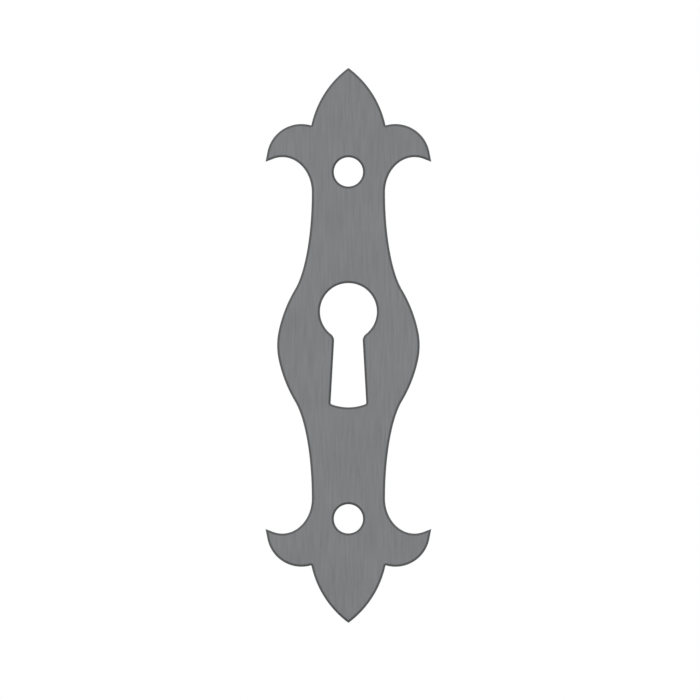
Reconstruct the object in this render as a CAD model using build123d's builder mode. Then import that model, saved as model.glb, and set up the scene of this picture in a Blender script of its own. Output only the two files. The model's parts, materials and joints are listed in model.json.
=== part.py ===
from build123d import *
import os
from math import acos, atan, cos, degrees, radians, sin, tan

# Keyhole escutcheon: one flat plate, cut from sheet steel, that is screwed over a
# keyhole. It stands as it does on a door: the back lies in the plane y = 0, the face
# looks along -Y and +Z is up. The origin is midway between the two screw holes.
# Lengths are in millimetres and angles in degrees.

# Sheet
plate_height = 80.0        # tip of one finial to tip of the other
plate_thickness = 1.5      # gauge of the sheet
edge_break = 0.25          # chamfer round the face, the keyhole and the screw holes

# Finial, the pointed leaf at each end
finial_height = 8.3        # tip to the notches at the foot of the leaf
finial_width = 10.7        # notch to notch
finial_swell = 0.91        # rise of a flank above its chord
notch_radius = 0.1         # inside rounding of a notch

# Side lobes, the two petals that curl away below each finial and end in barbs
lobe_span = 23.9           # point of one barb to point of the other
lobe_drop = 5.25           # notch down to the point of the barb
barb_run = 1.45            # straight outer edge of a barb, which runs on into the arc of the lobe
barb_lean = 11.0           # lean of that edge from the upright
barb_reach = 1.1           # straight lower edge of a barb, measured across the plate
throat_rise = 5.05         # upright half-axis of the elliptical throat under a lobe
throat_angle = 72.0        # place on that ellipse where the lower edge of the barb runs on from it

# Shank, an ogee on each side: an elliptical sweep from each waist to a three-centred belly
waist_width = 10.55
belly_width = 20.55
nose_radius = 10.0         # tight arc in the middle of the belly
nose_angle = 12.0          # half of that arc, which ends in a wider arc, the shoulder
turn_share = 0.365         # height where a shoulder turns into its sweep, over the waist's
turn_lean = 2.63           # slope of the outline there, over that of its chord

# Keyhole
eye_diameter = 8.2
eye_height = 4.87          # centre of the eye above the middle of the plate
slot_top_width = 3.65      # width of the flared slot, taken at the centre of the eye
slot_foot_width = 5.15     # and at its two lower corners
slot_length = 13.8         # centre of the eye to the lowest point of the slot
slot_foot_sag = 0.5        # fall of the curved foot below its corners
neck_radius = 1.2          # rounding where the eye runs into the slot
foot_radius = 0.3          # rounding of the two lower corners

# Screw holes
screw_hole_diameter = 4.2
screw_inset = 15.0         # tip of the finial to the centre of the hole

# Levels of the upper right quarter, from the tip down
tip_z = plate_height / 2
notch_z = tip_z - finial_height
barb_z = notch_z - lobe_drop

# Half-widths of that quarter
notch_x = finial_width / 2
barb_x = lobe_span / 2
waist_x = waist_width / 2
belly_x = belly_width / 2

# Throat: the ellipse that is upright at the waist and runs on into the lower edge of the barb
throat_x = barb_x - barb_reach
throat_reach = (throat_x - waist_x) / (1 + cos(radians(throat_angle)))
throat_slope = throat_rise / (throat_reach * tan(radians(throat_angle)))
throat_z = barb_z + barb_reach * throat_slope
waist_z = throat_z - throat_rise * sin(radians(throat_angle))

# Shoulder: the arc that follows on from the nose and reaches the turn with its slope
turn_z = turn_share * waist_z
turn_slope = turn_lean * (belly_x - waist_x) / waist_z
turn_angle = degrees(atan(turn_slope))
nose_x = belly_x - nose_radius
nose_sin = sin(radians(nose_angle))
nose_cos = cos(radians(nose_angle))
shoulder_radius = (turn_z - nose_radius * nose_sin) / (sin(radians(turn_angle)) - nose_sin)
shoulder_x = nose_x + (nose_radius - shoulder_radius) * nose_cos
shoulder_z = (nose_radius - shoulder_radius) * nose_sin
turn_x = shoulder_x + shoulder_radius * cos(radians(turn_angle))

# Sweep: the ellipse that is upright at the waist and has the shoulder's slope at the turn
sweep_run = turn_x - waist_x
sweep_fall = waist_z - turn_z
sweep_angle = degrees(acos(1 / (turn_slope * sweep_fall / sweep_run - 1)))
sweep_reach = sweep_run / (1 - cos(radians(sweep_angle)))
sweep_drop = sweep_fall / sin(radians(sweep_angle))

# Corners of the slot
slot_foot_z = eye_height - slot_length + slot_foot_sag
slot_top_left = (-slot_top_width / 2, eye_height)
slot_top_right = (slot_top_width / 2, eye_height)
slot_foot_left = (-slot_foot_width / 2, slot_foot_z)
slot_foot_right = (slot_foot_width / 2, slot_foot_z)

with BuildPart() as plate:
    # Blank: one quarter of the outline, mirrored down and then across
    with BuildSketch(Plane.XZ) as blank:
        with BuildLine() as outline:
            SagittaArc((0, tip_z), (notch_x, notch_z), finial_swell)
            barb_edge = PolarLine((barb_x, barb_z), barb_run, 90 + barb_lean)
            TangentArc(barb_edge @ 1, (notch_x, notch_z), tangent=barb_edge % 1)
            Line((barb_x, barb_z), (throat_x, throat_z))
            EllipticalCenterArc(
                (waist_x + throat_reach, waist_z),
                throat_reach,
                throat_rise,
                start_angle=throat_angle,
                arc_size=180 - throat_angle,
            )
            EllipticalCenterArc(
                (waist_x + sweep_reach, waist_z),
                sweep_reach,
                sweep_drop,
                start_angle=180,
                arc_size=sweep_angle,
            )
            CenterArc((shoulder_x, shoulder_z), shoulder_radius, nose_angle, turn_angle - nose_angle)
            CenterArc((nose_x, 0), nose_radius, 0, nose_angle)
            mirror(outline.line, about=Plane.XZ)
            mirror(outline.line, about=Plane.YZ)
        make_face()
        corner_rows = blank.vertices().group_by(Axis.Y)
        fillet(corner_rows[1] + corner_rows[-2], notch_radius)
    extrude(amount=plate_thickness)

    # Keyhole: a round eye that runs into a slot flared towards a curved foot
    with BuildSketch(Plane.XZ) as keyhole:
        with Locations((0, eye_height)):
            Circle(eye_diameter / 2)
        with BuildLine() as slot:
            Polyline(slot_foot_left, slot_top_left, slot_top_right, slot_foot_right)
            SagittaArc(slot_foot_right, slot_foot_left, slot_foot_sag)
        make_face()
        fillet(keyhole.vertices().group_by(Axis.Y)[1], neck_radius)
        fillet(keyhole.vertices().group_by(Axis.Y)[0], foot_radius)
    extrude(amount=plate_thickness, mode=Mode.SUBTRACT)

    # Screw holes, one in the head behind each finial
    with Locations(Plane.XZ):
        with GridLocations(0, plate_height - 2 * screw_inset, 1, 2):
            Hole(screw_hole_diameter / 2)

    # Broken edge round everything that is cut out of the face
    face = plate.faces().sort_by(Axis.Y)[0]
    chamfer(face.edges(), edge_break)

plate.part.label = "escutcheon_plate"

os.makedirs("parts", exist_ok=True)
export_step(plate.part, "parts/escutcheon_plate.step")
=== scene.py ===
"""Looks of a keyhole escutcheon: one plate of satin steel, cut from sheet, in a plain white studio.

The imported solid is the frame, and the plate is dressed as one closed surface in its place. A rim
profile is carried along the outline, the keyhole and the screw holes, and the flats of the face and
the back are filled in between. Lengths are in metres, +Z is up and the face looks along -Y.
"""

import json
import logging
import math
from dataclasses import dataclass, field
from enum import Enum
from itertools import chain
from typing import NamedTuple

import bpy
import numpy as np
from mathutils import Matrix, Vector
from mathutils.geometry import delaunay_2d_cdt


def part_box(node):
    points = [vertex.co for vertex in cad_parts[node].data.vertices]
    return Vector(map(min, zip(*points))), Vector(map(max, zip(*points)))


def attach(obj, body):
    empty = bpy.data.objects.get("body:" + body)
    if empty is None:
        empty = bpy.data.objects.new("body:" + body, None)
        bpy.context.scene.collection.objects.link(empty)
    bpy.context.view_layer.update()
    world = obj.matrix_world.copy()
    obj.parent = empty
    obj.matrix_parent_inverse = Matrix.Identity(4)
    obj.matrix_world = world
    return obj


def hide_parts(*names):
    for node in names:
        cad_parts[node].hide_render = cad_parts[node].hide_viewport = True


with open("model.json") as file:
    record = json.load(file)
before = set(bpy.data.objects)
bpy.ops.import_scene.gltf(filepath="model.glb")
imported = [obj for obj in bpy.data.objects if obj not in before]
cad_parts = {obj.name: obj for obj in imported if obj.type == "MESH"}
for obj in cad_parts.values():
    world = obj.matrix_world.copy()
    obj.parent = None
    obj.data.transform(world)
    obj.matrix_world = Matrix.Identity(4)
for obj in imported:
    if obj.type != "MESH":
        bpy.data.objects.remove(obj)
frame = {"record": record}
log = logging.getLogger("escutcheon")

MM = 0.001
FINE_PITCH = 0.01 * MM  # spacing of the points that stand for a smooth curve
MERGE_GAP = 1e-6 * MM  # points of a flat that are closer than this are one point
WHOLE_HULL = 0  # the triangulation's setting that keeps every triangle, in the steel or not
NOISE_DETAIL = 3.0  # how many times a noise's swells are halved into finer ones
PLATE_NODE = "escutcheon_plate"
PLATE_BODY = "root"
PLATE_NAME = "steel_plate"
SCREW_MOUNT = "screw_holes"
CUT_ATTRIBUTE = "cut_edge"

Colour = tuple[float, float, float, float]
Socket = bpy.types.NodeSocket


class Side(Enum):
    """The two flat sides of the plate."""

    FACE = "face"
    BACK = "back"


class Mixture(Enum):
    """What a mix node mixes, with Blender's name for it."""

    VALUES = "FLOAT"
    COLOURS = "RGBA"


# Plane curves, as arrays of (across, up) points that lie closely along them


def straight(start: np.ndarray, end: np.ndarray) -> np.ndarray:
    """A straight curve: start plus an even share, from 0 to 1, of the way to end."""
    steps = math.ceil(np.linalg.norm(end - start) / FINE_PITCH) + 1
    return start + np.linspace(0.0, 1.0, steps)[:, None] * (end - start)


def ellipse_arc(
    centre: np.ndarray, half_axes: tuple[float, float], first: float, last: float
) -> np.ndarray:
    """Part of an ellipse: the half-axes times the cosine and sine of an even angle.

    Args:
        centre: centre of the ellipse.
        half_axes: level and upright half-axis.
        first: angle of the first point, in radians.
        last: angle of the last point, in radians.

    Returns:
        The points, one to a row.
    """
    steps = math.ceil(max(half_axes) * abs(last - first) / FINE_PITCH) + 1
    angle = np.linspace(first, last, steps)
    return centre + half_axes * np.column_stack([np.cos(angle), np.sin(angle)])


def circle_arc(centre: np.ndarray, radius: float, first: float, last: float) -> np.ndarray:
    """Part of a circle, from a first to a last angle: an ellipse whose half-axes are both the radius."""
    return ellipse_arc(centre, (radius, radius), first, last)


def arc_about(centre: np.ndarray, start: np.ndarray, end: np.ndarray) -> np.ndarray:
    """The shorter arc from start to end: the radius turns evenly about the centre.

    Args:
        centre: centre of the circle.
        start: first point, on the circle.
        end: last point, on the circle.

    Returns:
        The points, one to a row.
    """
    first = math.atan2(*(start - centre)[::-1])
    last = math.atan2(*(end - centre)[::-1])
    turn = (last - first + math.pi) % (2 * math.pi) - math.pi
    return circle_arc(centre, float(np.linalg.norm(start - centre)), first, first + turn)


def sagitta_arc(start: np.ndarray, end: np.ndarray, sagitta: float) -> np.ndarray:
    """The arc that rises by its sagitta to the left of the chord from start to end.

    The radius is the square of half the chord, plus that of the sagitta, over twice the sagitta.

    Args:
        start: first point.
        end: last point.
        sagitta: rise of the arc above the middle of the chord.

    Returns:
        The points, one to a row.
    """
    chord = end - start
    length = np.linalg.norm(chord)
    radius = (length**2 / 4 + sagitta**2) / (2 * sagitta)
    left = np.array([-chord[1], chord[0]]) / length
    return arc_about((start + end) / 2 + left * (sagitta - radius), start, end)


def tangent_arc(start: np.ndarray, way: np.ndarray, end: np.ndarray) -> np.ndarray:
    """The arc that leaves start along a given way and reaches end.

    Its centre is on the normal at start. The radius is the square of the chord over twice the
    chord's reach along that normal.

    Args:
        start: first point.
        way: unit direction of travel at the first point.
        end: last point.

    Returns:
        The points, one to a row.
    """
    chord = end - start
    left = np.array([-way[1], way[0]])
    radius = chord @ chord / (2 * chord @ left)
    return arc_about(start + radius * left, start, end)


def joined(*curves: np.ndarray) -> np.ndarray:
    """Curves that follow each other as one array, each shared end point kept once."""
    return np.vstack([curves[0], *(curve[1:] for curve in curves[1:])])


def headings(curve: np.ndarray) -> np.ndarray:
    """Unit direction of travel at each point: the step from the point before to the one after.

    Args:
        curve: points of a curve, which is closed if it ends where it starts.

    Returns:
        One direction for each point.
    """
    if np.linalg.norm(curve[-1] - curve[0]) < FINE_PITCH / 2:
        step = np.roll(curve[:-1], -1, axis=0) - np.roll(curve[:-1], 1, axis=0)
        step = np.vstack([step, step[:1]])
    else:
        step = np.gradient(curve, axis=0)
    return step / np.linalg.norm(step, axis=1)[:, None]


def moved_left(curve: np.ndarray, distance: float) -> np.ndarray:
    """A curve moved sideways: each point plus the distance along the normal on its left."""
    return curve + distance * headings(curve)[:, ::-1] * [-1, 1]


class Meeting(NamedTuple):
    """Where one curve gives way to the next: a point of each, by number, and the place itself."""

    last: int
    first: int
    place: np.ndarray


def crossing(before: np.ndarray, after: np.ndarray) -> Meeting:
    """Where two curves cross: the nearest pair of points, then the lines through their neighbours.

    Args:
        before: first curve.
        after: second curve.

    Returns:
        The nearest point of each curve, and where the lines cross.
    """
    gap = np.linalg.norm(before[:, None] - after[None], axis=2)
    nearest = np.unravel_index(np.argmin(gap), gap.shape)
    i, j = (int(np.clip(k, 1, count - 2)) for k, count in zip(nearest, gap.shape))
    along, other = before[i + 1] - before[i - 1], after[j + 1] - after[j - 1]
    share = np.linalg.solve(np.column_stack([along, -other]), after[j] - before[i])[0]
    return Meeting(i, j, before[i] + share * along)


def rounded(before: np.ndarray, after: np.ndarray, radius: float) -> np.ndarray:
    """Two curves that cross, joined by an arc that touches both.

    Both are moved by the radius towards the inside of the turn. Where they then cross is the
    centre of the arc, and it touches each curve beside that crossing.

    Args:
        before: curve that leads to the corner.
        after: curve that leaves the corner.
        radius: radius of the arc.

    Returns:
        The first curve up to the arc, the arc, and the second curve from there.
    """
    i, j, _ = crossing(before, after)
    (a, b), (c, d) = headings(before)[i], headings(after)[j]
    inward = math.copysign(radius, a * d - b * c)
    i, j, centre = crossing(moved_left(before, inward), moved_left(after, inward))
    return joined(before[: i + 1], arc_about(centre, before[i], after[j]), after[j:])


@dataclass
class Loop:
    """A closed cut made of smooth runs, travelled with the steel on its left.

    One run that ends where it starts is a loop with no corner. With more runs, each meets
    the next at a sharp corner.
    """

    runs: list[np.ndarray]
    pitch: float = 0.25 * MM  # length of cut that gets one point
    turn: float = math.radians(6.0)  # bend that gets one point more
    corner_zone: float = 3.0 * MM  # length beside a corner over which it shifts the points

    def rings(self, insets: np.ndarray) -> np.ndarray:
        """The cut at several insets into the steel, as points of shape (rings, points, 2)."""
        return np.array([self._ring(inset) for inset in insets])

    def _ring(self, inset: float) -> np.ndarray:
        """The cut at one inset: each run is moved left, and a corner trims the two that meet there.

        Args:
            inset: distance of the ring from the cut, into the steel.

        Returns:
            The points, one to a row. Their count and the rows of the corners are the same at every inset.
        """
        moved = [moved_left(run, inset) for run in self.runs]
        corners = self._corners(moved)
        parts = []
        for k, run in enumerate(self.runs):
            start, end = corners[k - 1], corners[k]
            length = self._length(run)
            at = self._trimmed(self._places(run), length[[start.first, end.last, -1]])
            part = np.column_stack([np.interp(at, length, axis) for axis in moved[k].T])
            part[0] = start.place
            parts.append(part)
        return np.vstack(parts)

    @staticmethod
    def _length(run: np.ndarray) -> np.ndarray:
        """Length along a run at each of its points."""
        return np.append(0.0, np.linalg.norm(np.diff(run, axis=0), axis=1).cumsum())

    def _places(self, run: np.ndarray) -> np.ndarray:
        """Lengths along a run to place points at: closer together where it bends more.

        Each pitch of length and each turn of bend gets one point. The last point is left
        to the next run.

        Args:
            run: points of the run.

        Returns:
            Lengths from the start of the run.
        """
        length = self._length(run)
        bend = np.linalg.norm(np.diff(headings(run), axis=0), axis=1)
        weight = np.append(0.0, (np.diff(length) / self.pitch + bend / self.turn).cumsum())
        count = math.ceil(weight[-1])
        return np.interp(np.linspace(0.0, weight[-1], count, endpoint=False), weight, length)

    def _corners(self, moved: list[np.ndarray]) -> list[Meeting]:
        """Where each inset run ends and the next one starts.

        Args:
            moved: inset runs, which cross near their ends at sharp corners.

        Returns:
            The corner at the end of each run.
        """
        if len(moved) == 1:
            return [Meeting(len(moved[0]) - 1, 0, moved[0][0])]
        zone = round(self.corner_zone / FINE_PITCH)
        corners = []
        for run, onward in zip(moved, moved[1:] + moved[:1]):
            last, first, place = crossing(run[-zone:], onward[:zone])
            corners.append(Meeting(len(run) - zone + last, first, place))
        return corners

    def _trimmed(self, places: np.ndarray, span: np.ndarray) -> np.ndarray:
        """Places moved off the parts that a corner cuts away, less and less out of its zone.

        Args:
            places: lengths along a run.
            span: lengths at which the run starts, ends, and would end without a corner.

        Returns:
            Lengths that all lie between the start and the end.
        """
        start, end, whole = span
        near_start = np.clip(1 - places / self.corner_zone, 0.0, 1.0)
        near_end = np.clip(1 - (whole - places) / self.corner_zone, 0.0, 1.0)
        return places + start * near_start - (whole - end) * near_end


@dataclass
class PlateOutline:
    """Outer cut: a leaf-shaped finial, two curled lobes and an ogee shank, mirrored twice."""

    width: float
    height: float
    finial_height: float = 8.3 * MM
    finial_width: float = 10.7 * MM
    finial_swell: float = 0.91 * MM
    notch_radius: float = 0.1 * MM
    lobe_drop: float = 5.25 * MM
    barb_run: float = 1.45 * MM  # length of a barb's straight outer edge
    barb_lean: float = math.radians(11.0)
    barb_reach: float = 1.1 * MM  # level reach of its straight lower edge
    throat_rise: float = 5.05 * MM
    throat_angle: float = math.radians(72.0)
    waist_width: float = 10.55 * MM
    belly_width: float = 20.55 * MM
    nose_radius: float = 10.0 * MM
    nose_angle: float = math.radians(12.0)
    turn_share: float = 0.365  # height of the turn from sweep to shoulder, over the waist's height
    turn_lean: float = 2.63  # lean at the turn, over the mean lean from the waist to the belly
    tip: np.ndarray = field(init=False)
    notch: np.ndarray = field(init=False)
    barb: np.ndarray = field(init=False)
    throat_reach: float = field(init=False)
    throat_end: np.ndarray = field(init=False)
    waist: np.ndarray = field(init=False)

    def __post_init__(self) -> None:
        """Places the corners and joints of the upper right quarter."""
        self.tip = np.array([0.0, self.height / 2])
        self.notch = np.array([self.finial_width / 2, self.tip[1] - self.finial_height])
        self.barb = np.array([self.width / 2, self.notch[1] - self.lobe_drop])
        run = self.barb[0] - self.barb_reach - self.waist_width / 2
        self.throat_reach = run / (1 + math.cos(self.throat_angle))
        slope = self.throat_rise / (self.throat_reach * math.tan(self.throat_angle))
        self.throat_end = self.barb + self.barb_reach * np.array([-1.0, slope])
        drop = self.throat_rise * math.sin(self.throat_angle)
        self.waist = np.array([self.waist_width / 2, self.throat_end[1] - drop])

    def head(self) -> np.ndarray:
        """From the tip to the right barb: the leaf, an arc, and the lobe, an arc with a straight end.

        Returns:
            The points, one to a row.
        """
        leaf = sagitta_arc(self.tip, self.notch, self.finial_swell)
        way = np.array([-math.sin(self.barb_lean), math.cos(self.barb_lean)])
        edge_end = self.barb + self.barb_run * way
        lobe = joined(tangent_arc(edge_end, way, self.notch)[::-1], straight(edge_end, self.barb))
        return rounded(leaf, lobe, self.notch_radius)

    def throat(self) -> np.ndarray:
        """From the right barb to the waist: a straight edge and part of an ellipse that ends upright.

        The edge has the slope of the ellipse where they meet.

        Returns:
            The points, one to a row.
        """
        centre = self.waist + np.array([self.throat_reach, 0.0])
        half_axes = (self.throat_reach, self.throat_rise)
        curve = ellipse_arc(centre, half_axes, self.throat_angle, math.pi)
        return joined(straight(self.barb, self.throat_end), curve)

    def ogee(self) -> np.ndarray:
        """From the waist to the middle of the belly: an elliptical sweep, a shoulder and a nose.

        The shoulder follows on from the nose and reaches the turn with its slope. The sweep is
        the ellipse that is upright at the waist and has that slope at the turn.

        Returns:
            The points, one to a row.
        """
        belly = self.belly_width / 2
        slope = self.turn_lean * (belly - self.waist[0]) / self.waist[1]
        turn_angle = math.atan(slope)
        nose_way = np.array([math.cos(self.nose_angle), math.sin(self.nose_angle)])
        turn_way = np.array([math.cos(turn_angle), math.sin(turn_angle)])
        rise = self.turn_share * self.waist[1] - self.nose_radius * nose_way[1]
        shoulder_radius = rise / (turn_way[1] - nose_way[1])
        nose_centre = np.array([belly - self.nose_radius, 0.0])
        shoulder_centre = nose_centre + (self.nose_radius - shoulder_radius) * nose_way
        run, fall = np.abs(shoulder_centre + shoulder_radius * turn_way - self.waist)
        sweep_angle = math.acos(1 / (slope * fall / run - 1))
        reach, drop = run / (1 - math.cos(sweep_angle)), fall / math.sin(sweep_angle)
        sweep_centre = self.waist + np.array([reach, 0.0])
        return joined(
            ellipse_arc(sweep_centre, (reach, drop), math.pi, math.pi + sweep_angle),
            circle_arc(shoulder_centre, shoulder_radius, turn_angle, self.nose_angle),
            circle_arc(nose_centre, self.nose_radius, self.nose_angle, 0.0),
        )

    def loop(self) -> Loop:
        """The whole outline, anticlockwise as seen from the front: the left side, then its mirror.

        Returns:
            Six runs that meet at the two tips and the four barbs.
        """
        head, flank = self.head(), joined(self.throat(), self.ogee())
        shank = joined(flank, flank[::-1] * [1, -1])
        left = [head * [-1, 1], shank * [-1, 1], head[::-1] * [-1, -1]]
        return Loop(left + [run[::-1] * [-1, 1] for run in reversed(left)])


@dataclass
class Keyhole:
    """A round eye that runs into a slot, which flares towards a curved foot."""

    eye_diameter: float = 8.2 * MM
    eye_height: float = 4.87 * MM
    slot_top_width: float = 3.65 * MM
    slot_foot_width: float = 5.15 * MM
    slot_length: float = 13.8 * MM
    slot_foot_sag: float = 0.5 * MM
    neck_radius: float = 1.2 * MM
    foot_radius: float = 0.3 * MM

    def loop(self) -> Loop:
        """The keyhole, clockwise as seen from the front: its right half downwards, then the mirror of it.

        Returns:
            One run with rounded corners.
        """
        eye_centre = np.array([0.0, self.eye_height])
        foot_level = self.eye_height - self.slot_length + self.slot_foot_sag
        slot_top = np.array([self.slot_top_width / 2, self.eye_height])
        slot_foot = np.array([self.slot_foot_width / 2, foot_level])
        eye = circle_arc(eye_centre, self.eye_diameter / 2, math.pi / 2, -math.pi / 2)
        flank = straight(slot_top, slot_foot)
        foot = sagitta_arc(slot_foot * [-1, 1], slot_foot, -self.slot_foot_sag)[::-1]
        half_foot = foot[foot[:, 0] >= 0]
        right = rounded(rounded(eye, flank, self.neck_radius), half_foot, self.foot_radius)
        return Loop([joined(right, right[::-1] * [-1, 1])])


@dataclass
class ScrewHole:
    """A plain round hole for a wood screw."""

    centre: np.ndarray
    radius: float

    def loop(self) -> Loop:
        """The hole, clockwise as seen from the front: a circle whose angle falls by a full turn."""
        return Loop([circle_arc(self.centre, self.radius, 2 * math.pi, 0.0)])


@dataclass
class RimProfile:
    """Section of a cut edge, from the flat of the back round to the flat of the face."""

    thickness: float
    break_width: float = 0.34 * MM
    break_power: float = 1.5
    break_steps: int = 10
    back_radius: float = 0.07 * MM
    back_steps: int = 6
    wall_steps: int = 5
    hold: float = 0.02 * MM  # narrow ring on a flat, which keeps it level up to the edge
    margin: float = 0.65 * MM  # inset at which the rim ends and the filling of a flat begins
    dark_width: float = 0.295 * MM  # inset up to which the broken edge is fully dark
    dark_fade: float = 0.065 * MM  # width over which the dark then fades out

    def section(self) -> np.ndarray:
        """Inset into the steel and place along Y of each ring.

        The back edge is a quarter circle. The broken edge at the front is a quarter of a
        superellipse: between a straight chamfer, power 1, and a round, power 2.

        Returns:
            Rows of (inset, y), from the back to the front.
        """
        front = -self.thickness
        back_angle = np.linspace(np.pi / 2, 0.0, self.back_steps)
        back_inset = self.back_radius * (1 - np.cos(back_angle))
        back_y = -self.back_radius * (1 - np.sin(back_angle))
        wall_y = np.linspace(-self.back_radius, front + self.break_width, self.wall_steps)[1:-1]
        angle = np.linspace(0.0, np.pi / 2, self.break_steps)
        power = 2 / self.break_power
        break_inset = self.break_width * (1 - np.abs(np.cos(angle)) ** power)
        break_y = front + self.break_width * (1 - np.abs(np.sin(angle)) ** power)
        back_flat = [self.margin, self.back_radius + self.hold]
        front_flat = [self.break_width + self.hold, self.margin]
        inset = np.concatenate([back_flat, back_inset, np.zeros_like(wall_y), break_inset, front_flat])
        y = np.concatenate([[0.0, 0.0], back_y, wall_y, break_y, [front, front]])
        return np.column_stack([inset, y])

    def cut_share(self) -> np.ndarray:
        """How much of the dark cut skin each ring shows: 1 on the edge and 0 on the flats.

        At the front the skin fades out across the broken edge. At the back it ends with the round.

        Returns:
            One share for each ring.
        """
        inset, y = self.section().T
        at_front = np.clip((self.dark_width + self.dark_fade - inset) / self.dark_fade, 0.0, 1.0)
        at_back = inset < self.back_radius
        return np.where(y < -self.thickness / 2, at_front, at_back)


@dataclass
class MeshDraft:
    """A mesh in the making: blocks of points, the cut skin that each point shows, and faces."""

    points: list[np.ndarray] = field(default_factory=list)
    cut_shares: list[np.ndarray] = field(default_factory=list)
    faces: list[np.ndarray] = field(default_factory=list)

    def add_points(self, points: np.ndarray, cut_share: np.ndarray) -> np.ndarray:
        """Adds a block of points.

        Args:
            points: array with x, y and z along its last axis.
            cut_share: how much of the cut skin each point shows.

        Returns:
            The number of each point in the mesh, in an array of the same shape without that axis.
        """
        shape = points.shape[:-1]
        start = sum(len(block) for block in self.points)
        self.points.append(points.reshape(-1, 3))
        self.cut_shares.append(np.broadcast_to(cut_share, shape).ravel())
        return start + np.arange(len(self.points[-1])).reshape(shape)

    def mesh(self, name: str, smooth_angle: float) -> bpy.types.Mesh:
        """Puts the arrays into a mesh, smooth but for its sharp corners.

        Args:
            name: name of the mesh.
            smooth_angle: bend between two faces past which their edge is sharp.

        Returns:
            The mesh.
        """
        mesh = bpy.data.meshes.new(name)
        faces = list(chain.from_iterable(block.tolist() for block in self.faces))
        mesh.from_pydata(np.vstack(self.points), [], faces)
        share = mesh.attributes.new(CUT_ATTRIBUTE, "FLOAT", "POINT")
        share.data.foreach_set("value", np.concatenate(self.cut_shares).astype(np.float32))
        mesh.shade_smooth()
        mesh.set_sharp_from_angle(angle=smooth_angle)
        mesh.validate()
        return mesh


class NodeBoard:
    """The node tree of a material or a world, with short ways to place and join its nodes."""

    def __init__(self, owner: bpy.types.Material | bpy.types.World) -> None:
        """Gives the owner an empty node tree.

        Args:
            owner: material or world that the nodes are for.
        """
        owner.use_nodes = True
        self.tree = owner.node_tree
        self.tree.nodes.clear()

    def add(self, kind: str, inputs: dict[str | int, object], **settings: object) -> bpy.types.Node:
        """Places a node.

        Args:
            kind: Blender's name for the type of node.
            inputs: socket name or number to a value, or to an output that feeds it.
            settings: attributes of the node itself.

        Returns:
            The node.
        """
        node = self.tree.nodes.new(kind)
        for name, value in settings.items():
            setattr(node, name, value)
        for name, value in inputs.items():
            if isinstance(value, Socket):
                self.tree.links.new(value, node.inputs[name])
            else:
                node.inputs[name].default_value = value
        return node

    def total(self, first: Socket, second: Socket | float, clamp: bool = False) -> Socket:
        """Two values added, with the total kept between 0 and 1 if it is to be clamped."""
        node = self.add("ShaderNodeMath", {0: first, 1: second}, operation="ADD", use_clamp=clamp)
        return node.outputs["Value"]

    def spread(
        self, value: Socket, low: float, high: float, first: float = 0.0, last: float = 1.0
    ) -> Socket:
        """A value that runs from low to high while another, held in its range, runs from first to last."""
        ends = {"From Min": first, "From Max": last, "To Min": low, "To Max": high}
        return self.add("ShaderNodeMapRange", {"Value": value, **ends}).outputs["Result"]

    def mixed(
        self, share: Socket, first: object, second: object, kind: Mixture = Mixture.VALUES
    ) -> Socket:
        """Two values or two colours mixed: the first at share 0, and the second at share 1."""
        inputs = {"Factor": share, "A": first, "B": second}
        return self.add("ShaderNodeMix", inputs, data_type=kind.value).outputs["Result"]

    def noise(
        self, place: Socket, pitch: float, shares: tuple[float, float, float] = (1.0, 1.0, 1.0)
    ) -> Socket:
        """Fractal noise about one half, with one large swell to the pitch and finer ones in it.

        Args:
            place: coordinates to read.
            pitch: width of the large swells.
            shares: how much of each axis is read. A small share draws the noise out along its axis.

        Returns:
            The noise.
        """
        drawn_out = self.add("ShaderNodeMapping", {"Vector": place, "Scale": shares}).outputs["Vector"]
        inputs = {"Vector": drawn_out, "Scale": 1 / pitch, "Detail": NOISE_DETAIL}
        return self.add("ShaderNodeTexNoise", inputs).outputs["Fac"]

    def shaded(self, colour: Colour | Socket, swing: Socket) -> Socket:
        """A colour made lighter and darker: scaled by one plus a swing about zero.

        Args:
            colour: the colour.
            swing: how much it changes at each point.

        Returns:
            The shaded colour.
        """
        plain = colour if isinstance(colour, Socket) else colour[:3]
        inputs = {0: plain, "Scale": self.total(swing, 1.0)}
        return self.add("ShaderNodeVectorMath", inputs, operation="SCALE").outputs["Vector"]

    def seen_rays(self) -> Socket:
        """1 for rays from the camera, off gloss or through glass, and 0 for the rest.

        Returns:
            The share.
        """
        path = self.add("ShaderNodeLightPath", {}).outputs
        seen = self.total(path["Is Camera Ray"], path["Is Glossy Ray"], clamp=True)
        return self.total(seen, path["Is Transmission Ray"], clamp=True)


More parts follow.
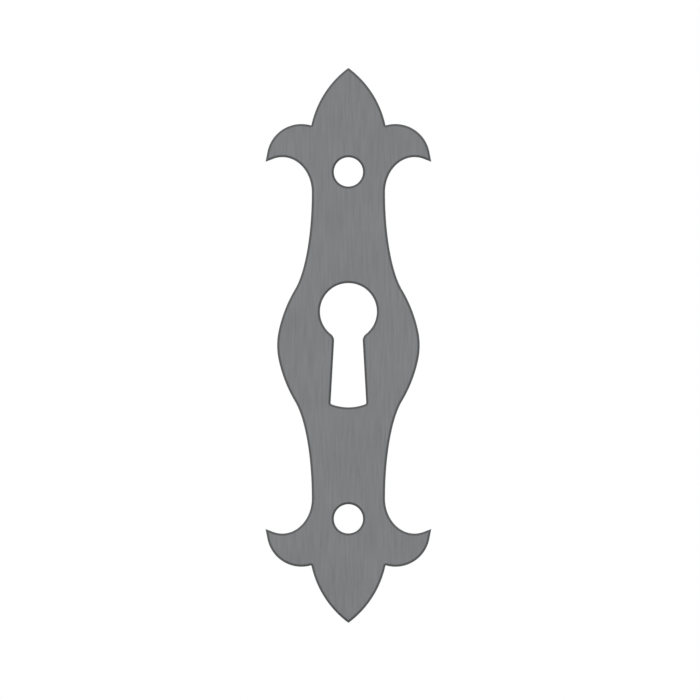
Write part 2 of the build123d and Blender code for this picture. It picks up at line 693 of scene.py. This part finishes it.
@dataclass(frozen=True)
class SteelFinish:
    """Satin sheet steel: fine upright grain on the flats, and a darker sheared skin on every cut.

    A sheared edge has a dark matt corner, then a smoother burnished band with fine scores across
    the sheet, and then a rough torn band that reaches the back. Where the bands end, fade and
    wander is given as a share of the thickness.
    """

    thickness: float
    metallic: float = 0.85
    relief: float = 0.008 * MM
    gloss_swing: float = 0.12
    flat_colour: Colour = (0.209, 0.2125, 0.2195, 1.0)
    flat_roughness: float = 0.46
    cloud_pitch: float = 7.0 * MM
    cloud_depth: float = 0.08
    grain_pitch: float = 0.30 * MM
    grain_share: float = 0.06
    grain_depth: float = 0.22
    corner_colour: Colour = (0.125, 0.1265, 0.130, 1.0)
    corner_roughness: float = 0.65
    corner_end: float = 0.25
    burnished_colour: Colour = (0.130, 0.132, 0.136, 1.0)
    burnished_roughness: float = 0.40
    burnished_end: float = 0.52
    torn_colour: Colour = (0.088, 0.089, 0.092, 1.0)
    torn_roughness: float = 0.62
    band_fade: float = 0.06
    band_wander: float = 0.12
    score_pitch: float = 0.16 * MM
    score_share: float = 0.06
    score_depth: float = 0.35

    def material(self) -> bpy.types.Material:
        """Builds the material on Object coordinates and the plate's own cut attribute.

        Returns:
            The steel.
        """
        steel = bpy.data.materials.new("satin_steel")
        board = NodeBoard(steel)
        place = board.add("ShaderNodeTexCoord", {}).outputs["Object"]
        cut = board.add("ShaderNodeAttribute", {}, attribute_name=CUT_ATTRIBUTE).outputs["Fac"]
        grain = board.noise(place, self.grain_pitch, (1.0, 1.0, self.grain_share))
        score = board.noise(place, self.score_pitch, (1.0, self.score_share, 1.0))
        texture = board.mixed(cut, grain, score)

        flat_colour = self._flat_skin(board, place, grain)
        cut_colour, cut_roughness = self._cut_skin(board, place, score)
        roughness = board.total(
            board.mixed(cut, self.flat_roughness, cut_roughness),
            board.spread(texture, -self.gloss_swing, self.gloss_swing),
        )
        bump = board.add("ShaderNodeBump", {"Height": texture, "Distance": self.relief})
        shader = board.add(
            "ShaderNodeBsdfPrincipled",
            {
                "Base Color": board.mixed(cut, flat_colour, cut_colour, Mixture.COLOURS),
                "Metallic": self.metallic,
                "Roughness": roughness,
                "Normal": bump.outputs["Normal"],
            },
        )
        board.add("ShaderNodeOutputMaterial", {"Surface": shader.outputs["BSDF"]})
        return steel

    def _flat_skin(self, board: NodeBoard, place: Socket, grain: Socket) -> Socket:
        """Colour of the flats: faint broad clouds and fine grain on an even grey.

        Args:
            board: the material's nodes.
            place: Object coordinates.
            grain: noise drawn out along the plate.

        Returns:
            The colour.
        """
        cloud = board.noise(place, self.cloud_pitch)
        swing = board.total(
            board.spread(cloud, -self.cloud_depth, self.cloud_depth),
            board.spread(grain, -self.grain_depth, self.grain_depth),
        )
        return board.shaded(self.flat_colour, swing)

    def _cut_skin(self, board: NodeBoard, place: Socket, score: Socket) -> tuple[Socket, Socket]:
        """Colour and roughness of the sheared edges: bands by depth below the face, with scores.

        Args:
            board: the material's nodes.
            place: Object coordinates, with the face at minus the thickness along Y.
            score: noise drawn out across the sheet, which also makes the bands wander.

        Returns:
            The colour and the roughness.
        """
        y = board.add("ShaderNodeSeparateXYZ", {"Vector": place}).outputs["Y"]
        even_depth = board.spread(y, 0.0, 1.0, first=-self.thickness, last=0.0)
        depth = board.total(even_depth, board.spread(score, -self.band_wander, self.band_wander))
        burnished = self._past(board, depth, self.corner_end)
        torn = self._past(board, depth, self.burnished_end)
        upper = board.mixed(burnished, self.corner_colour, self.burnished_colour, Mixture.COLOURS)
        bands = board.mixed(torn, upper, self.torn_colour, Mixture.COLOURS)
        colour = board.shaded(bands, board.spread(score, -self.score_depth, self.score_depth))
        upper_roughness = board.spread(burnished, self.corner_roughness, self.burnished_roughness)
        return colour, board.mixed(torn, upper_roughness, self.torn_roughness)

    def _past(self, board: NodeBoard, depth: Socket, end: float) -> Socket:
        """1 below the end of a band and 0 above it, with a short fade between."""
        return board.spread(depth, 0.0, 1.0, first=end - self.band_fade, last=end + self.band_fade)


def new_object(name: str, data: bpy.types.ID) -> bpy.types.Object:
    """Puts a new object into the scene, at the origin.

    Args:
        name: name of the object.
        data: mesh, lamp or camera that it holds.

    Returns:
        The object.
    """
    made = bpy.data.objects.new(name, data)
    bpy.context.scene.collection.objects.link(made)
    return made


@dataclass
class EscutcheonPlate:
    """The dressed plate: a rim round every cut, and the flats of the face and the back between them."""

    outline: PlateOutline
    keyhole: Keyhole
    screw_holes: list[ScrewHole]
    rim: RimProfile
    finish: SteelFinish
    flat_pitch: float = 0.9 * MM
    smooth_angle: float = math.radians(30.0)

    def build(self) -> bpy.types.Object:
        """Makes the plate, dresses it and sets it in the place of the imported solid.

        Returns:
            The plate, at the origin, with its place in its mesh.
        """
        draft = MeshDraft()
        cuts = [self.outline, self.keyhole, *self.screw_holes]
        rims = [self._add_rim(draft, cut.loop()) for cut in cuts]
        self._add_flat(draft, Side.BACK, [rim[0] for rim in rims])
        self._add_flat(draft, Side.FACE, [rim[-1] for rim in rims])
        plate = new_object(PLATE_NAME, draft.mesh(PLATE_NAME, self.smooth_angle))
        plate.data.materials.append(self.finish.material())
        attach(plate, PLATE_BODY)
        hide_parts(PLATE_NODE)
        return plate

    def _add_rim(self, draft: MeshDraft, loop: Loop) -> np.ndarray:
        """Carries the rim profile along one cut: ring by ring, a grid of quads closed on itself.

        Args:
            draft: the mesh in the making.
            loop: the cut that the rim follows.

        Returns:
            The number of each point in the mesh, one row to a ring, from the back to the front.
        """
        section = self.rim.section()
        rings = loop.rings(section[:, 0])
        y = np.broadcast_to(section[:, 1, None], rings.shape[:2])
        points = np.stack([rings[..., 0], y, rings[..., 1]], axis=-1)
        here = draft.add_points(points, self.rim.cut_share()[:, None])
        onward = np.roll(here, -1, axis=1)
        quads = np.stack([here[:-1], onward[:-1], onward[1:], here[1:]], axis=-1)
        draft.faces.append(quads.reshape(-1, 4))
        return here

    def _add_flat(self, draft: MeshDraft, side: Side, rings: list[np.ndarray]) -> None:
        """Fills one flat of the plate with triangles between the innermost rings.

        Args:
            draft: the mesh in the making.
            side: which flat.
            rings: numbers of the points of each ring round the flat.
        """
        placed = np.vstack(draft.points)
        borders = [placed[ring][:, [0, 2]] for ring in rings]
        filling = self._filling(borders)
        triangles = self._triangles(borders, filling)
        y = np.full(len(filling), placed[rings[0][0], 1])
        points = np.column_stack([filling[:, 0], y, filling[:, 1]])
        numbers = np.concatenate([*rings, draft.add_points(points, np.zeros(len(points)))])
        draft.faces.append(numbers[triangles if side is Side.FACE else triangles[:, ::-1]])

    @staticmethod
    def _inside(points: np.ndarray, borders: list[np.ndarray]) -> np.ndarray:
        """Which points lie in the steel: a level ray from one crosses the borders an odd number of times.

        Args:
            points: points to test.
            borders: points of each border.

        Returns:
            One truth value for each point.
        """
        odd = np.zeros(len(points), bool)
        across, up = points.T[:, :, None]
        for border in borders:
            (x_1, z_1), (x_2, z_2) = border.T, np.roll(border, -1, axis=0).T
            spans = (z_1 > up) != (z_2 > up)
            rise = np.where(z_1 == z_2, 1.0, z_2 - z_1)
            meets = x_1 + (up - z_1) / rise * (x_2 - x_1)
            odd ^= np.sum(spans & (meets > across), axis=1) % 2 == 1
        return odd

    def _filling(self, borders: list[np.ndarray]) -> np.ndarray:
        """Even points over a flat: rows of a triangular grid, kept clear of the borders.

        Args:
            borders: points of each border.

        Returns:
            The points, one to a row.
        """
        border = np.vstack(borders)
        low, high = border.min(axis=0), border.max(axis=0)
        columns = np.arange(low[0], high[0], self.flat_pitch)
        rows = np.arange(low[1], high[1], self.flat_pitch * math.sin(math.pi / 3))
        across, up = np.meshgrid(columns, rows)
        across = across + (np.arange(len(rows)) % 2)[:, None] * self.flat_pitch / 2
        points = np.column_stack([across.ravel(), up.ravel()])
        points = points[self._inside(points, borders)]
        nearest = np.min(np.linalg.norm(points[:, None] - border[None], axis=2), axis=1)
        return points[nearest > self.flat_pitch / 2]

    def _triangles(self, borders: list[np.ndarray], filling: np.ndarray) -> np.ndarray:
        """Triangles over a flat: the Delaunay triangles of its points that keep to its borders.

        Args:
            borders: points of each border.
            filling: points between the borders.

        Returns:
            Rows of three numbers, counted through the borders and then the filling, which go
            round anticlockwise as seen from the front.
        """
        flat = np.vstack([*borders, filling])
        ends = np.cumsum([0, *map(len, borders)])
        numbers = [np.arange(first, last) for first, last in zip(ends, ends[1:])]
        edges = np.vstack([np.column_stack([ring, np.roll(ring, -1)]) for ring in numbers])
        _, _, faces, sources, _, _ = delaunay_2d_cdt(
            (flat / MM).tolist(), edges.tolist(), [], WHOLE_HULL, MERGE_GAP / MM
        )
        # No two points are merged, so each point that comes back has one source
        triangles = np.concatenate(sources)[np.array(faces)]
        triangles = triangles[self._inside(flat[triangles].mean(axis=1), borders)]
        (x_1, z_1), (x_2, z_2) = (flat[triangles[:, k]].T - flat[triangles[:, 0]].T for k in (1, 2))
        clockwise = x_1 * z_2 < z_1 * x_2
        return np.where(clockwise[:, None], triangles[:, ::-1], triangles)


@dataclass(frozen=True)
class FloorFinish:
    """Plain pale floor, lifted to the white of the background where the camera or a gloss sees it."""

    colour: Colour = (0.86, 0.86, 0.86, 1.0)
    lift: float = 0.26

    def material(self) -> bpy.types.Material:
        """Builds the floor's material: matt paint, plus a little white for seen rays.

        Returns:
            The floor's material.
        """
        pale = bpy.data.materials.new("pale_floor")
        board = NodeBoard(pale)
        paint = board.add("ShaderNodeBsdfDiffuse", {"Color": self.colour}).outputs["BSDF"]
        glow = board.spread(board.seen_rays(), 0.0, self.lift)
        lift = board.add("ShaderNodeEmission", {"Strength": glow}).outputs["Emission"]
        both = board.add("ShaderNodeAddShader", {0: paint, 1: lift}).outputs["Shader"]
        board.add("ShaderNodeOutputMaterial", {"Surface": both})
        return pale


@dataclass(frozen=True)
class SoftLamp:
    """A distant lamp with a wide disc, so its light is even and its shadows are soft."""

    name: str
    toward_lamp: tuple[float, float, float]
    strength: float
    width: float = math.radians(25.0)

    def build(self) -> None:
        """Makes the lamp and turns it to shine from its side."""
        data = bpy.data.lights.new(self.name, "SUN")
        data.energy = self.strength
        data.angle = self.width
        lamp = new_object(self.name, data)
        lamp.rotation_euler = Vector(self.toward_lamp).to_track_quat("Z", "Y").to_euler()


@dataclass
class Studio:
    """White surroundings, a pale floor, two soft lamps and the camera of the drawing."""

    plate_low: Vector
    plate_high: Vector
    frame_px: float = 700.0
    plate_height_px: float = 555.05
    plate_centre_px: tuple[float, float] = (348.42, 345.38)
    camera_distance: float = 0.5
    floor_reach: float = 6.0
    sky_colour: Colour = (1.0, 1.0, 1.0, 1.0)
    sky_strength: float = 0.55
    seen_strength: float = 1.0
    lamps: tuple[SoftLamp, ...] = (
        SoftLamp("key_lamp", toward_lamp=(-0.40, -0.85, 0.60), strength=0.74),
        SoftLamp("back_lamp", toward_lamp=(0.60, 0.75, 0.70), strength=0.70),
    )

    def build(self) -> None:
        """Makes the world, the floor, the lamps and the camera."""
        self._world()
        self._floor()
        for lamp in self.lamps:
            lamp.build()
            log.info("lamp %s", lamp.name)
        self._camera()
        bpy.context.scene.view_settings.view_transform = "Standard"

    def _world(self) -> None:
        """White where it is seen, and a plain even sky for the rest of the light."""
        world = bpy.data.worlds.new("white_studio")
        board = NodeBoard(world)
        strength = board.spread(board.seen_rays(), self.sky_strength, self.seen_strength)
        sky = board.add("ShaderNodeBackground", {"Color": self.sky_colour, "Strength": strength})
        board.add("ShaderNodeOutputWorld", {"Surface": sky.outputs["Background"]})
        bpy.context.scene.world = world

    def _floor(self) -> None:
        """A level square under the lower tip of the plate."""
        side = np.array([-self.floor_reach, self.floor_reach])
        across, along = np.meshgrid(side, side)
        level = np.full(across.size, self.plate_low.z)
        mesh = bpy.data.meshes.new("floor")
        mesh.from_pydata(np.column_stack([across.ravel(), along.ravel(), level]), [], [(0, 1, 3, 2)])
        mesh.materials.append(FloorFinish().material())
        new_object("floor", mesh)

    def _camera(self) -> None:
        """A camera square to the face with no perspective, as the drawing is made.

        The plate's height in pixels gives the scale, and its centre in pixels the camera's place.
        """
        scale = (self.plate_high.z - self.plate_low.z) / self.plate_height_px
        centre = (self.plate_low + self.plate_high) / 2
        data = bpy.data.cameras.new("drawing_camera")
        data.type = "ORTHO"
        data.ortho_scale = self.frame_px * scale
        camera = new_object("drawing_camera", data)
        right = (self.frame_px / 2 - self.plate_centre_px[0]) * scale
        down = (self.frame_px / 2 - self.plate_centre_px[1]) * scale
        camera.location = (centre.x + right, centre.y - self.camera_distance, centre.z - down)
        camera.rotation_euler = (math.pi / 2, 0.0, 0.0)
        bpy.context.scene.camera = camera


def screw_holes() -> list[ScrewHole]:
    """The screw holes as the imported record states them.

    Returns:
        One hole above and one below the origin.
    """
    mount = next(mount for mount in frame["record"]["mounts"] if mount["name"] == SCREW_MOUNT)
    rise = mount["dims"]["spacing_y_mm"] / 2 * MM
    radius = mount["dims"]["hole_r_mm"] * MM
    return [ScrewHole(np.array([0.0, level]), radius) for level in (rise, -rise)]


def main() -> None:
    """Builds the plate and its studio."""
    logging.basicConfig(level=logging.INFO, format="%(name)s: %(message)s")
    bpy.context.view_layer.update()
    low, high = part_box(PLATE_NODE)
    width, thickness, height = high - low

    plate = EscutcheonPlate(
        outline=PlateOutline(width, height),
        keyhole=Keyhole(),
        screw_holes=screw_holes(),
        rim=RimProfile(thickness),
        finish=SteelFinish(thickness),
    ).build()
    log.info("piece %s: %d faces", plate.name, len(plate.data.polygons))
    Studio(low, high).build()


if __name__ == "__main__":
    main()
